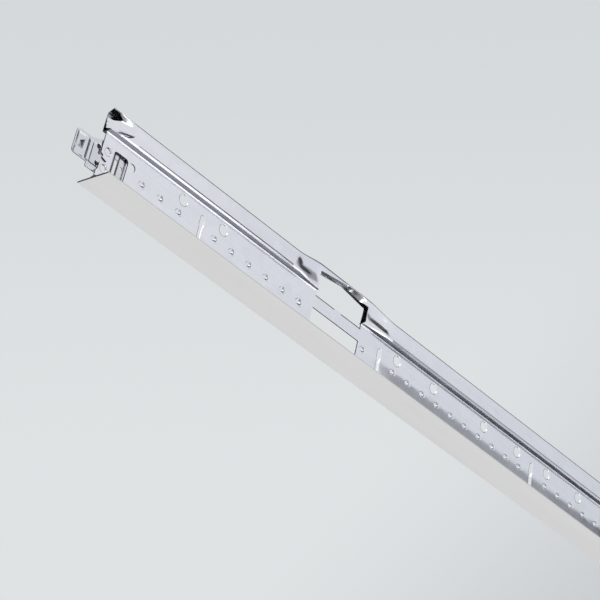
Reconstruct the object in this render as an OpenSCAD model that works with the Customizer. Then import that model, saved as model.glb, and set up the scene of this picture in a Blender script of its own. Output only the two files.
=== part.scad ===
// Main tee of an exposed ceiling grid, in millimetres. It stands on its exposed face, with its length
// along X and the middle of that face at the origin. Both ends are alike, turned half round about Z.

/* [Tee] */
// Length between the two ends of the web
length = 3657.6; // [1828.8:152.4:4267.2]
// Height from the exposed face to the top of the bulb
height = 41.7; // [40:0.1:50]
// Width of the exposed face
face_w = 23.8; // [20:0.1:28]
// Thickness of the strip that the tee is rolled from
sheet = 0.38; // [0.3:0.01:0.5]

/* [Face cap] */
// Thickness of the painted strip of the cap
cap_sheet = 0.3; // [0.2:0.01:0.4]
// Width of the hem that folds over each flange edge
cap_hem = 2.6; // [1.5:0.1:5]
// Side room between a flange edge and the inside of its hem
cap_room = 0.05; // [0.02:0.01:0.15]

/* [Bulb] */
// Width of the bulb
bulb_w = 7.6; // [6.5:0.1:9]
// Height of the bulb
bulb_h = 12.3; // [11:0.1:13.5]
// Outside radius of the bulb's corners
bulb_r = 0.6; // [0.5:0.05:1.5]
// Length of the dent in one wall of the bulb at each end of the tee
swage_l = 16; // [10:0.5:25]
// Depth of that dent at the end
swage_in = 4.2; // [2:0.1:5]
// How far the foot of the dented wall is pressed in
swage_foot_in = 3; // [1:0.1:3.2]
// How far the top corner over the dent stands past the end of the web
swage_corner = 2; // [0:0.1:3]

/* [Cross tee slots] */
// Distance from the end of the web to its first slot
slot_first = 76.2; // [60:0.1:90]
// Distance from slot to slot
slot_pitch = 152.4; // [140:0.1:304.8]
// How far a slot's top lies below the bulb
slot_drop = 6.2; // [4:0.1:9]
// Height of a slot's foot above the exposed face
slot_foot = 5.5; // [4:0.1:8]
// Width of a slot below its head
slot_w = 2.5; // [1.5:0.1:3]
// Width of a slot's round head
slot_head_w = 3.4; // [2.5:0.1:5]
// Height of a slot's head
slot_head_h = 7; // [4:0.1:9]

/* [Hanger holes] */
// Diameter of a hanger hole
hole_d = 6.6; // [4:0.1:8]
// How far the holes' centres lie below the bulb
hole_drop = 6.05; // [4.5:0.05:9]
// Distance of the near holes from their slot
hole_near = 15.875; // [10:0.025:20]
// Distance of the far holes from their slot
hole_far = 50.8; // [35:0.1:60]

/* [Fire notch] */
// Distance from the end of the web to the middle of the notch
notch_x = 189; // [180:0.5:195]
// Length of the notch's upper opening, where it cuts the web
notch_l = 39.8; // [30:0.1:44]
// Length of the notch's lower opening
notch_low_l = 41; // [30:0.1:44]
// How far the upper opening's sill lies below the bulb
sill_drop = 3.6; // [2:0.1:5]
// Width of the small tab that is left on the sill
sill_tab_w = 4.6; // [2:0.1:8]
// Height of that tab
sill_tab_h = 0.5; // [0.2:0.1:1]
// How much further the upper opening reaches in the bulb, at each end
notch_flare = 1.6; // [0:0.1:2]
// Width of the bulb where it is pinched at the opening
pinch_w = 4.4; // [3:0.1:6]
// How far the pinched strap stands above the bulb
pinch_rise = 3.4; // [0:0.1:4]
// Height of the strap at the ends of the opening
strap_h = 4.4; // [3:0.1:6]
// Height of the strap at its middle
pinch_h = 1.7; // [1.4:0.1:3]
// How far the bulb is dented beyond each end of the opening
crush_l = 24; // [12:0.5:28]
// How much deeper the dent is behind the ends of the opening than at them
crush_dip = 0.6; // [0:0.1:1]
// Height of the strip of web between the two openings
bridge_h = 7.7; // [5:0.1:10]
// Height of the lower opening's foot above the exposed face
notch_low_foot = 3; // [2:0.1:6]

/* [Splice clip] */
// Thickness of the clip's plate
clip_sheet = 0.5; // [0.4:0.05:0.8]
// How far the clip reaches past the end of the web
clip_reach = 17.4; // [14:0.1:22]
// How far the clip's root reaches past the end of the web before it narrows
clip_neck = 6.5; // [5:0.1:7]
// Length of the clip's root along the web
clip_root_l = 20; // [19.5:0.1:24]
// Height of the clip's tongue-end
clip_tip_h = 14.8; // [12:0.1:16]
// Height of the clip's root
clip_root_h = 19.4; // [17:0.1:20]
// Height of the clip's middle above the exposed face
clip_z = 13.6; // [13:0.1:15]
// Radius of the clip's corners
clip_r = 2; // [1:0.1:3]
// Width of the clip's upright rib between its pressed panels
clip_rib_w = 2.6; // [2:0.1:3]
// Distance from the end of the web to the outer side of that rib
clip_rib_x = 7.6; // [7:0.1:8]
// Width of the flat land round the pressed panels
clip_land = 1.9; // [1.5:0.1:3]
// Depth of the clip's two pressed panels
clip_press = 0.3; // [0.1:0.05:0.35]
// Outside diameter of an eyelet that holds the clip
eyelet_d = 5; // [3:0.1:5.4]
// Wall of an eyelet
eyelet_wall = 0.25; // [0.2:0.05:0.6]
// How far an eyelet stands out of the web
eyelet_head = 0.15; // [0.1:0.05:0.4]
// Room between an eyelet and its hole in the web
eyelet_room = 0.05; // [0.02:0.01:0.15]
// Width of the web's pocket for the next tee's tongue
pocket_w = 10.5; // [8:0.1:11]
// Height of that pocket
pocket_h = 17; // [14:0.1:17.5]
// Distance from the end of the web to the pocket
pocket_x = 8.1; // [7.5:0.1:9]
// Width of the clip's own window in that pocket
window_w = 3.4; // [2:0.1:4]
// How far the end of the web is cut back where the clip passes it
set_back = 1.8; // [1:0.1:2]
// How far the tongue stands out of the clip
tongue_rise = 0.6; // [0.3:0.05:0.7]
// Height of the tongue at its root
tongue_h = 6.4; // [4:0.1:8]
// Length of the tongue
tongue_l = 2.4; // [1.5:0.1:3]
// Distance from the end of the web to the tongue's free edge
tongue_x = 10.4; // [10:0.1:11]

/* [Hidden] */
$fn = 48;
// The web is the strip's two layers laid together
web_t = 2 * sheet;
bulb_z = height - bulb_h;
flange_z = cap_sheet;
flange_top = cap_sheet + sheet;
cap_top = flange_top + cap_sheet;
flange_w = face_w - 2 * cap_sheet - 2 * cap_room;
slot_top = bulb_z - slot_drop;
slot_h = slot_top - slot_foot;
hole_z = bulb_z - hole_drop;
notch_sill = bulb_z - sill_drop;
notch_low_top = notch_sill - bridge_h;
// How far each wall of the bulb is pressed in at the notch
pinch_in = (bulb_w - pinch_w) / 2;
crush_reach = notch_l / 2 + crush_l;
// Lengths over which a pressed-in part runs out into the plain bulb
swage_fade = 13;
swage_foot_l = 7;
crush_fade = 10;
// The foot of the bulb gives way nearer to the opening than its walls do
foot_lag = 8;
// Length of the lip that the dent leaves at the ends of the opening
lip_l = 4;
// Depths at which a dented wall leaves the top, turns to the foot and reaches it, where 1 is the foot
crease_top = 0.3;
crease_hi = 0.6;
crease_lo = 0.8;
arc_steps = 3;
wall_steps = 7;
swage_steps = 8;
crush_steps = 12;
cut_w = 3 * bulb_w;
// Slots are counted from both ends, and the middle keeps at least one pitch between them
slots_each_end = 1 + floor((length / 2 - slot_pitch / 2 - slot_first) / slot_pitch + 0.001);
clip_y = web_t / 2;
eyelet_x = 4.4;
eyelet_z = [clip_z - 5.2, clip_z + 5.1];
// Side wall of a pressed panel, and the part of a panel that lies on the web
panel_wall = 0.3;
panel_on_web = 1;
tongue_t = 0.35;
tongue_play = 0.2;
// The clip's window lies inside the pocket, and a small pilot hole beside it
window_x = pocket_x + 1.7;
window_drop = 3.4;
pilot_d = 1.8;
pilot_x = window_x + window_w + 2.9;
pilot_z = clip_z + 2.3;
// A second plain hole in the web, past the clip
spare_hole_x = clip_root_l + 1.6;
spare_hole_z = clip_z + 5.8;
small_r = 0.9;
// How far a cut runs past the face it starts from
overrun = 1;

// Soft step from 0 to 1
function ease(t) = let (c = min(max(t, 0), 1)) c * c * (3 - 2 * c);

// Quarter of a circle about (y, z) from the angle a
function quarter(y, z, r, a) = [for (i = [0 : arc_steps])
    [y + r * cos(a + 90 * i / arc_steps), z + r * sin(a + 90 * i / arc_steps)]];

// Points up or down a flat wall, without its ends
function wall(y, from, to) = [for (i = [1 : wall_steps]) [y, from + (to - from) * i / (wall_steps + 1)]];

// Outline of the bulb, set in by a skin from its outside
function bulb_ring(skin) =
    let (y = bulb_w / 2 - skin, low = bulb_z + skin, high = height - skin, r = bulb_r - skin)
    concat(quarter(y - r, low + r, r, -90), wall(y, low + r, high - r), quarter(y - r, high - r, r, 0),
           quarter(r - y, high - r, r, 90), wall(-y, high - r, low + r), quarter(r - y, low + r, r, 180));

// Depth below the bulb's top, from 0 at the top to 1 at its foot
function depth(z) = (height - z) / bulb_h;

// How far a wall is pressed in at a depth, where press holds how far its top, its middle and its foot are
function press_at(s, press) = lookup(s, [[0, press[0]], [crease_top, press[1]], [crease_hi, press[1]],
                                         [crease_lo, press[2]], [1, press[2]]]);

// The outline with its near and its far wall pressed in, its top raised and its near top corner drawn out
function pressed_ring(skin, x, near, far, rise, corner) = [for (p = bulb_ring(skin))
    let (s = depth(p[1]), half = bulb_w / 2 - press_at(s, p[0] < 0 ? near : far))
    [x - corner * (1 - s) * (0.5 - p[0] / bulb_w), p[0] * (half - skin) / (bulb_w / 2 - skin),
     p[1] + rise * (1 - s)]];

// A tube through a row of rings, where stations holds [x, near, far, rise, corner] for each
module pressed_tube(stations) {
    skins = [for (skin = [0, sheet]) [for (s = stations) pressed_ring(skin, s[0], s[1], s[2], s[3], s[4])]];
    m = len(skins[0][0]);
    last = len(stations) - 1;
    inner = m * len(stations);
    points = [for (skin = skins) for (ring = skin) for (p = ring) p];
    sides = [for (i = [0 : last - 1]) for (j = [0 : m - 1])
        let (a = i * m + j, b = i * m + (j + 1) % m, c = b + m, d = a + m)
        each [[a, d, c], [a, c, b], [inner + a, inner + b, inner + c], [inner + a, inner + c, inner + d]]];
    ends = [for (j = [0 : m - 1])
        let (k = (j + 1) % m, e = last * m)
        each [[j, k, inner + k], [j, inner + k, inner + j],
              [inner + e + j, inner + e + k, e + k], [inner + e + j, e + k, e + j]]];
    polyhedron(points, concat(sides, ends));
}

// Both ends of the tee, with x counted from the end of the web
module each_end() {
    for (turn = [0, 180]) rotate(turn) translate([-length / 2, 0, 0]) children();
}

// A section drawn across the tee, run along X
module along_x(from, to) {
    translate([from, 0, 0]) rotate([90, 0, 90]) linear_extrude(to - from) children();
}

// A shape drawn on the web, cut through from side to side
module through_web() {
    rotate([90, 0, 0]) linear_extrude(cut_w, center = true) children();
}

// Rectangle with round corners, from its lower left corner
module round_rect(w, h, r) {
    translate([r, 0]) square([w - 2 * r, h]);
    translate([0, r]) square([w, h - 2 * r]);
    for (x = [r, w - r], y = [r, h - r]) translate([x, y]) circle(r);
}

// The plain bulb between two places along the tee
module bulb_run(from, to) {
    along_x(from, to) difference() {
        polygon(bulb_ring(0));
        polygon(bulb_ring(sheet));
    }
}

// The near wall is dented under the top, and the far wall is left plain
module end_swage() {
    pressed_tube([for (i = [0 : swage_steps])
        let (x = swage_l * i / swage_steps)
        [x, [0, swage_in * ease((swage_l - x) / swage_fade), swage_foot_in * ease(1 - x / swage_foot_l)],
         [0, 0, 0], 0, i == 0 ? swage_corner : 0]]);
}

// The notch's bulb at a distance from the middle of the notch
function crushed(u) =
    let (out = crush_reach - abs(u), in = ease(out / crush_l), lip = ease((abs(u) - notch_l / 2) / lip_l),
         press = [pinch_in * in, (pinch_in + crush_dip * lip) * ease(out / crush_fade),
                  pinch_in * ease((out - foot_lag) / (crush_l - foot_lag))])
    [u, press, press, pinch_rise * in, 0];

module notch_bulb() {
    steps = [for (i = [0 : crush_steps]) crush_l * i / crush_steps];
    translate([notch_x, 0, 0]) pressed_tube([for (u = [for (d = steps) d - crush_reach]) crushed(u),
                                             for (u = [for (d = steps) d + notch_l / 2]) crushed(u)]);
}

module slot() {
    through_web() {
        translate([0, slot_top - slot_head_w / 2]) circle(d = slot_head_w);
        translate([-slot_head_w / 2, slot_top - slot_head_h])
            square([slot_head_w, slot_head_h - slot_head_w / 2]);
        translate([-slot_w / 2, slot_top - slot_h + slot_w / 2]) square([slot_w, slot_h - slot_head_w]);
        translate([0, slot_top - slot_h + slot_w / 2]) circle(d = slot_w);
    }
}

module hanger_hole(x) {
    translate([x, 0, hole_z]) rotate([90, 0, 0]) cylinder(d = hole_d, h = cut_w, center = true);
}

// The first slot has no far holes, and the second none on the side of the notch
module slots_and_holes() {
    for (k = [0 : slots_each_end - 1]) translate([slot_first + k * slot_pitch, 0, 0]) {
        slot();
        hanger_hole(hole_near);
        if (k != 1) hanger_hole(-hole_near);
        if (k > 0) hanger_hole(hole_far);
        if (k > 1) hanger_hole(-hole_far);
    }
}

module notch_openings() {
    half = notch_l / 2;
    wide = half + notch_flare;
    top = height + pinch_rise;
    translate([notch_x, 0, 0]) through_web() {
        difference() {
            polygon([[-half, notch_sill], [half, notch_sill], [half, bulb_z], [wide, bulb_z + notch_flare],
                     [wide, top - strap_h], [0, top - pinch_h], [-wide, top - strap_h],
                     [-wide, bulb_z + notch_flare], [-half, bulb_z]]);
            translate([-sill_tab_w / 2, notch_sill - overrun]) square([sill_tab_w, overrun + sill_tab_h]);
        }
        translate([-notch_low_l / 2, notch_low_foot])
            round_rect(notch_low_l, notch_low_top - notch_low_foot, small_r);
    }
}

// Pocket, eyelet holes and the cut-back end of the web that the clip passes
module web_end_openings() {
    through_web() {
        translate([pocket_x, clip_z - pocket_h / 2]) round_rect(pocket_w, pocket_h, clip_r);
        translate([-clip_r, clip_z - pocket_h / 2]) round_rect(clip_r + set_back, pocket_h, small_r);
        for (z = eyelet_z) translate([eyelet_x, z]) circle(d = eyelet_d + 2 * eyelet_room);
        translate([spare_hole_x, spare_hole_z]) circle(d = eyelet_d);
    }
}

module tee_body() {
    color([0.77, 0.78, 0.81]) difference() {
        union() {
            along_x(-length / 2, length / 2) {
                translate([-web_t / 2, flange_z]) square([web_t, bulb_z + sheet / 2 - flange_z]);
                translate([-flange_w / 2, flange_z]) square([flange_w, sheet]);
            }
            each_end() {
                end_swage();
                bulb_run(swage_l, notch_x - crush_reach);
                notch_bulb();
                bulb_run(notch_x + crush_reach, length / 2);
            }
        }
        each_end() {
            slots_and_holes();
            notch_openings();
            web_end_openings();
        }
    }
}

// Painted strip folded round both flange edges
module face_cap() {
    color([0.93, 0.92, 0.9]) along_x(-length / 2, length / 2) difference() {
        union() {
            translate([cap_top / 2 - face_w / 2, 0]) square([face_w - cap_top, cap_top]);
            for (side = [-1, 1]) translate([side * (face_w - cap_top) / 2, cap_top / 2]) circle(d = cap_top);
        }
        translate([cap_sheet - face_w / 2, flange_z]) square([face_w - 2 * cap_sheet, sheet]);
        translate([cap_hem - face_w / 2, flange_z]) square([face_w - 2 * cap_hem, cap_top]);
    }
}

// Outline of the clip on the web, with x counted from the end of the web
module clip_outline() {
    translate([-clip_reach, clip_z - clip_tip_h / 2]) round_rect(clip_reach, clip_tip_h, clip_r);
    polygon([[-clip_neck, clip_z - clip_root_h / 2], [clip_root_l, clip_z - clip_root_h / 2],
             [clip_root_l, clip_z + clip_root_h / 2], [0, clip_z + clip_root_h / 2],
             [-clip_neck, clip_z + clip_tip_h / 2]]);
}

// The two pressed panels, on each side of a plain upright rib
module clip_panels(land) {
    grow = clip_land - land;
    panel_h = clip_tip_h - 2 * land;
    translate([land - clip_reach, clip_z - panel_h / 2])
        round_rect(clip_reach - clip_rib_x - land + grow, panel_h, small_r);
    translate([clip_rib_w - clip_rib_x - grow, clip_z - panel_h / 2])
        round_rect(clip_rib_x - clip_rib_w + panel_on_web + 2 * grow, panel_h, small_r);
}

// A plate drawn on the web, with its near face at y
module plate(y, t) {
    translate([0, y + t, 0]) rotate([90, 0, 0]) linear_extrude(t) children();
}

// Lanced tongue, with its free edge towards the web
module tongue() {
    translate([-tongue_x, clip_y + clip_press, clip_z - tongue_h / 2]) linear_extrude(tongue_h)
        polygon([[-tongue_l, 0], [0, -tongue_rise - clip_press], [0, tongue_t - tongue_rise - clip_press],
                 [-tongue_l, tongue_t]]);
}

module splice_clip() {
    difference() {
        union() {
            plate(clip_y, clip_sheet) clip_outline();
            plate(clip_y + clip_press, clip_sheet) clip_panels(clip_land - panel_wall);
            for (z = eyelet_z) translate([eyelet_x, clip_y + clip_sheet, z]) rotate([90, 0, 0])
                cylinder(d = eyelet_d, h = clip_sheet + web_t + eyelet_head);
        }
        plate(clip_y - overrun, clip_press + overrun) clip_panels(clip_land);
        for (z = eyelet_z) translate([eyelet_x, 0, z]) rotate([90, 0, 0])
            cylinder(d = eyelet_d - 2 * eyelet_wall, h = cut_w, center = true);
        plate(clip_y - overrun, clip_press + clip_sheet + 2 * overrun) {
            translate([window_x, clip_z - pocket_h / 2]) square([window_w, pocket_h - window_drop]);
            translate([pilot_x, pilot_z]) circle(d = pilot_d);
            translate([tongue_play - tongue_x - tongue_l, clip_z - tongue_h / 2 - tongue_play])
                square([tongue_l, tongue_h + 2 * tongue_play]);
        }
    }
    tongue();
}

module splice_clip_left() {
    color([0.72, 0.73, 0.75]) translate([-length / 2, 0, 0]) splice_clip();
}

module splice_clip_right() {
    color([0.72, 0.73, 0.75]) rotate(180) translate([-length / 2, 0, 0]) splice_clip();
}

tee_body();
face_cap();
splice_clip_left();
splice_clip_right();
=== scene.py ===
import math

import bpy
import numpy as np
from mathutils import Matrix, Vector
from mathutils.geometry import delaunay_2d_cdt

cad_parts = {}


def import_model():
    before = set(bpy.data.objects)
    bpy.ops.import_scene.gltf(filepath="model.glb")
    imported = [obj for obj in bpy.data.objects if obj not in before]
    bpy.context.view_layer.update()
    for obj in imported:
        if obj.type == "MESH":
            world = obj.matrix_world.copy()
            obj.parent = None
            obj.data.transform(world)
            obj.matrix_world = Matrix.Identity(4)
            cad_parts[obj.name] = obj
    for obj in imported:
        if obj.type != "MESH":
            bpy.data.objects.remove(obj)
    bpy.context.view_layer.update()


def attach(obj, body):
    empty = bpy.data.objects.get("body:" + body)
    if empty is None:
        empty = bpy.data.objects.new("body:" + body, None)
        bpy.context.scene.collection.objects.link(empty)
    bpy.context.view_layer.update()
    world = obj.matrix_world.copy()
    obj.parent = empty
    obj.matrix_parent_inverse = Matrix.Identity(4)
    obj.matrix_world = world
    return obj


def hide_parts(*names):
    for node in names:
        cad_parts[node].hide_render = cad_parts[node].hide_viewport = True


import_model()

MM = 0.001
# Added to the end of a range so that it takes in its last step
TINY = 0.01

# Sizes are in millimetres, as in the part's source: x from an end of the web, z from the exposed face
LENGTH = 3657.6
HALF = LENGTH / 2
HEIGHT = 41.7
FACE_W = 23.8
SHEET = 0.38
SMALL_R = 0.9

# Face cap, with a round hem that stays just inside the solid's
CAP_SHEET = 0.3
CAP_HEM, HEM_CLEAR, HEM_EDGE_R = 2.6, 0.002, 0.1
CAP_TOP = 2 * CAP_SHEET + SHEET

# Bulb, with bevelled lower corners; its underside slopes, and flattens outwards
BULB_W, BULB_H = 7.6, 12.3
BULB_Z = HEIGHT - BULB_H
BULB_R, FOOT_R, FOOT_R_MIN = 1.0, 0.16, 0.04
BEVEL, BEVEL_H = 0.54, 0.95
SHOULDER_TILT, TILT_LEVEL, TILT_TOP, TILT_FADE = 0.17, BULB_W * 0.28, 0.9, 0.8
FLAT_FROM, FLATTER = 1.5, 0.5
# Low step that the rollers leave above the bevel
STEP_Z, STEP_OUT, STEP_H, STEP_TAIL = BULB_Z + 2.0, 0.18, 0.9, 1.0
STEP_NOTCH_GAP, STEP_END_GAP = 1, 4
# Points of the bulb's rings: how close they stand beside a corner, and how many a wall and a corner have
CORNER_GAP, BEVEL_GAP, WALL_FROM, WALL_POINTS, CORNER_STEPS = 0.06, 0.05, 0.4, 24, 5
FLAT_POINTS = np.array([-1, -0.5, -0.15, 0, 0.15, 0.5, 1])
# Depth of the outer and the inner skin, and the pitch of their rings where the bulb is pressed
SKINS = ((0.0, 1.0), (SHEET, 2.0))
# Rings on the strap over a notch and on the plain stretches
STRAP_REACH, STRAP_PITCH = 18.0, 2.0
PLAIN_RINGS, MIDDLE_FROM, MIDDLE_RINGS = (40, 90), 300, 4

# Dent in the near wall at each end of the bulb; heights are shares of the bulb, from its top down
SWAGE_L, SWAGE_IN, SWAGE_TOP, SWAGE_BREAK, SWAGE_FOOT = 16.0, 2.4, 0.03, 0.27, 0.18
SWAGE_MID, SWAGE_ROUND, SWAGE_POWER = 0.42, 5.0, 2.5
SWAGE_LIP, SWAGE_LIP_L = 2.6, 6.0
SWAGE_CORNER, SWAGE_CORNER_L = 2.0, 2.5
# Waves that the tool leaves in the pressed wall
WAVE, WAVE_PITCH, WAVE_L = 0.09, 2.2, 10.0
WAVE_FROM, WAVE_TO, WAVE_FADE = 0.35, 0.9, 0.1
# Outline of the torn opening above the pressed wall: x, z
LANCE = ((-3, 37.4), (2.6, 37.4), (5.6, 38.4), (6.4, 39.2), (2.5, 41.0), (-3, 41.0))

# Slots and hanger holes, with a rolled-over rim on the near side
SLOT_FIRST, SLOT_PITCH, SLOTS_EACH_END = 76.2, 152.4, 12
SLOT_TOP, SLOT_FOOT = BULB_Z - 6.2, 5.5
SLOT_W, SLOT_HEAD_W, SLOT_HEAD_H, SLOT_SLOPE = 2.5, 3.4, 7.0, 0.5
HOLE_D, HOLE_Z, HOLE_SIDES = 6.6, BULB_Z - 6.05, 28
HOLE_NEAR, HOLE_FAR = 15.875, 50.8
RIM_W, RIM_DROP, RIM_FLAT = 0.3, 0.14, 0.25

# Fire notch: its two openings, and the small tab on its sill
NOTCH_X, NOTCH_L, NOTCH_LOW_L = 189.0, 39.8, 41.0
NOTCH_SILL = BULB_Z - 3.6
NOTCH_LOW_TOP, NOTCH_LOW_FOOT = NOTCH_SILL - 7.7, 3.0
NOTCH_FLARE = 1.6
TAB_W, TAB_H, TAB_SLOPE = 4.6, 0.5, 0.3
# The strap over the notch is pinched and rises
PINCH_W, PINCH_RISE, STRAP_H, PINCH_H = 4.4, 3.4, 4.4, 1.7
PINCH_IN = (BULB_W - PINCH_W) / 2
# Dents beside the notch; pairs are of the one on its left and the one on its right
CRUSH_L, CRUSH_FADE, CRUSH_QUICK = 24.0, 8.0, 0.6
CRUSH_DIP, FOOT_RUN = (0.45, 0.7), (18.0, 20.0)
CRUSH_REACH = NOTCH_L / 2 + CRUSH_L
FOOT_LAG, LIP_L = 4.0, 4.0
CREASE_TOP, CREASE_HI, CREASE_LO = 0.42, 0.5, 0.84
# Past the pinch, the strap's near wall curls and folds in under its roof
CURL, CURL_END, CURL_FROM, CURL_H = 1.35, 3.0, 0.8, 3.0
FOLD, FOLD_FROM, FOLD_START, FOLD_FADE = 3.2, 0.6, 4.0, 5.0
# Shear burrs on the sill, and across each end of the flange: its section as y, z on one side and on the other
BURR_R, BURR_BURY, BURR_DROP, BURR_GAPS = 0.2, 0.05, 0.12, (1.2, 0.4)
END_BURR = ((2.4, 1.0), (0.8, 1.7), (-1.0, 1.7), (-2.8, 1.0))
END_BURR_LOW, END_BURR_TOP, END_BURR_OUT, END_BURR_IN = 0.6, 0.95, 0.05, 0.35

# Splice clip, its eyelets and the web's pocket
CLIP_Z, CLIP_SHEET, CLIP_REACH, CLIP_NECK, CLIP_ROOT_L = 13.6, 0.5, 17.4, 6.5, 20.0
CLIP_TIP_H, CLIP_ROOT_H, CLIP_R = 14.8, 19.4, 2.0
ROOT_SLANT, ROOT_LOW_R, ROOT_HIGH_R, ROOT_HIGH_X = 0.3, 0.5, 1.2, -1.0
CLIP_LOW, CLIP_HIGH = CLIP_Z - CLIP_TIP_H / 2, CLIP_Z + CLIP_TIP_H / 2
ROOT_LOW, ROOT_HIGH = CLIP_Z - CLIP_ROOT_H / 2, CLIP_Z + CLIP_ROOT_H / 2
CLIP_GRID_X, CLIP_GRID_Z, CLIP_GRID_GROW = 0.35, 0.4, 1.06
EYELET_D, EYELET_WALL, EYELET_HEAD, EYELET_ROUND, EYELET_PLAY = 5.0, 0.25, 0.15, 0.1, 0.05
EYELET_X, EYELET_Z = 4.4, (CLIP_Z - 5.2, CLIP_Z + 5.1)
EYELET_SIDES = 32
POCKET_X, POCKET_W, POCKET_H = 8.1, 10.5, 17.0
POCKET_LOW = CLIP_Z - POCKET_H / 2
SPARE_BORE = (CLIP_ROOT_L + 1.6, CLIP_Z + 5.8)
WINDOW_X0, WINDOW_X1, WINDOW_TOP = POCKET_X + 2.6, POCKET_X + 4.7, CLIP_Z + 5.1
PILOT, PILOT_R = (POCKET_X + 8, CLIP_Z + 2.3), 0.9
# Depth of the clip's relief along X: two panels, with a sharp bar and a fine bar between them
RELIEF_X = (-16.5, -15.5, -10.5, -9.0, -7.0, -6.3, -5.6, -4.8, -2.0, 0.4, 1.8)
RELIEF_Y = (0.0, 0.6, 0.6, -0.25, 0.6, 0.35, 0.1, 0.55, 0.55, 0.6, 0.0)
# Where the relief begins above the clip's lower edge and below its upper one, and how gently
RELIEF_FOOT, RELIEF_FOOT_H, RELIEF_TOP, RELIEF_TOP_H = 0.6, 1.0, 0.5, 2.6
# Dips near its lower edge: depth, then the top, the left end and the right end, each with its fade
TIP_DIP = (0.35, CLIP_LOW + 3.2, 1.8, -16.8, 0.8, -11.2, 1.0)
ROOT_DIP = (0.4, ROOT_LOW + 2.1, 1.9, -7, 0.6, 0.8, 1.0)
# Steps away from the web behind the pocket: depth, x, length
BACK_STEPS = ((0.5, 8.7, 2.0), (0.4, 12.6, 1.5))
BACK_END, BACK_FADE = 19.4, 0.8
# Pits where the clip is fixed to the web by staking: x, z; the lower right part of each is coloured with the dark
# edge material as painted shade
STAKES = ((-1.4, 19.2), (0.2, 9.7))
# Radius and depth of a pit, then the share of its radius and the shift towards its lower right of its painted
# shade
STAKE_R, STAKE_DEEP, STAKE_SHADE_SHARE, STAKE_SHADE_SHIFT = 1.6, 0.8, 0.75, 0.2
# Lanced tongue of the clip: its rim as x, z, its thickness, and the free corner as x, z
TONGUE_RIM = ((-14.2, 11.6), (-10.7, 11.3), (-10.3, 17.4), (-13.6, 15.2))
TONGUE_T, TONGUE_TOP = 0.35, (-13.5, 12.9)
CLIP_PRESS, TONGUE_BURY, TONGUE_RISE = 0.6, 0.05, 0.5
TONGUE_ROOT_Y, TONGUE_TOP_Y = SHEET + CLIP_PRESS - TONGUE_BURY, SHEET - TONGUE_RISE

# Web: its sheet runs from inside the flange to inside the bulb
WEB_LOW, WEB_TOP = CAP_SHEET + SHEET / 2, BULB_Z - 0.05
# Its end is nibbled out between the eyelets, where the tool tears it: x, z from the top down
END_EDGE = ((0, 19.7), (0.2, 16.2), (1.9, 15.3), (1.5, 14.0), (3.3, 13.4), (4.9, 13.0), (4.6, 12.2),
            (2.4, 11.6), (1.0, 10.6), (0.8, 6.5), (0, 5.1))
# Between the notches, its two layers spread a little towards the flange
FLARE, FLARE_TOP, FLARE_FOOT = 1.35, 17.5, 2.0
FLARE_GAP, FLARE_FADE = 24.0, 30.0
FLARE_ROWS = np.linspace(FLARE_FOOT, FLARE_TOP, 11)
GRID_PITCH, GRID_START, GRID_STOP, GRID_CLEAR, GRID_END = 8.0, 6.0, 4.0, 0.4, 20.0
# Fillets where the strip bends: at the flange and under the bulb, and how deep their sections are buried
FLANGE_BEND_R, NECK_BEND_R, BURY_Y, BURY_Z = 1.4, 0.2, 0.2, 0.15
SPREAD_FROM, SPREAD_TO, SPREAD_STEPS = 22.0, 56.0, 18

# Stitches that hold the two layers of the web together; each is rings of (share of its size, share of its rise)
STITCH_FIRST, STITCH_PITCH, STITCH_Z = 31.08, 14.08, 14.7
STITCH_A, STITCH_B, STITCH_RISE = 2.9, 2.0, 0.72
STITCH_BIG, STITCH_BIG_SIZE, STITCH_SIDES = 9, 1.2, 16
STITCH_RINGS = ((1.0, 0.0), (0.84, -0.55), (0.7, -0.55), (0.5, 0.45), (0.25, 0.92))
# How far a stitch may move to clear a hole, and the room that it keeps
STITCH_SHIFTS, STITCH_ROOM, STITCH_NOTCH_GAP = (0, -0.9, 0.9, -1.6, 1.6), 1.12, 2.2
# The web is filled pitch by pitch; a cut between two pitches may move by these to miss the stitches
CUT_SHIFTS, CUT_CLEAR = np.arange(-7, 7.5, 0.5), 3.5


def ease(t):
    c = np.clip(t, 0.0, 1.0)
    return c * c * (3 - 2 * c)


def build(name, verts, faces, sheared_and_shaded=(), crease=32.0):
    """A mesh object from points in millimetres; sheared faces and faces with painted shade get the second
    material.
    """
    me = bpy.data.meshes.new(name)
    me.from_pydata((np.asarray(verts, float) * MM).tolist(), [], [list(map(int, f)) for f in faces])
    mark = np.zeros(len(faces), np.int32)
    mark[list(sheared_and_shaded)] = 1
    me.polygons.foreach_set("material_index", mark)
    ob = bpy.data.objects.new(name, me)
    bpy.context.collection.objects.link(ob)
    soften(ob, crease)
    return ob


def soften(ob, crease=32.0):
    """Smooth shading up to a crease angle in degrees."""
    ob.data.shade_smooth()
    ob.data.set_sharp_from_angle(angle=math.radians(crease))


def cut(ob, other):
    """Cut another object out of an object, and drop it."""
    mod = ob.modifiers.new("cut", "BOOLEAN")
    mod.operation = "DIFFERENCE"
    mod.solver = "MANIFOLD"
    mod.object = other
    deps = bpy.context.evaluated_depsgraph_get()
    me = bpy.data.meshes.new_from_object(ob.evaluated_get(deps))
    ob.modifiers.clear()
    ob.data = me
    bpy.data.objects.remove(other)


def merge(parts):
    """One list of points, faces, and the faces of sheared edges and of painted shade, from several."""
    verts, faces, sheared_and_shaded, n = [], [], [], 0
    for v, f, e in parts:
        verts.append(np.asarray(v, float).reshape(-1, 3))
        sheared_and_shaded += [i + len(faces) for i in e]
        faces += [[i + n for i in face] for face in f]
        n += len(verts[-1])
    return np.concatenate(verts), faces, sheared_and_shaded


def turned(v):
    """Points turned half round about the upright axis, as the tee's other end is."""
    return np.asarray(v, float) * np.array([-1.0, -1.0, 1.0])


# Flat shapes

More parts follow.
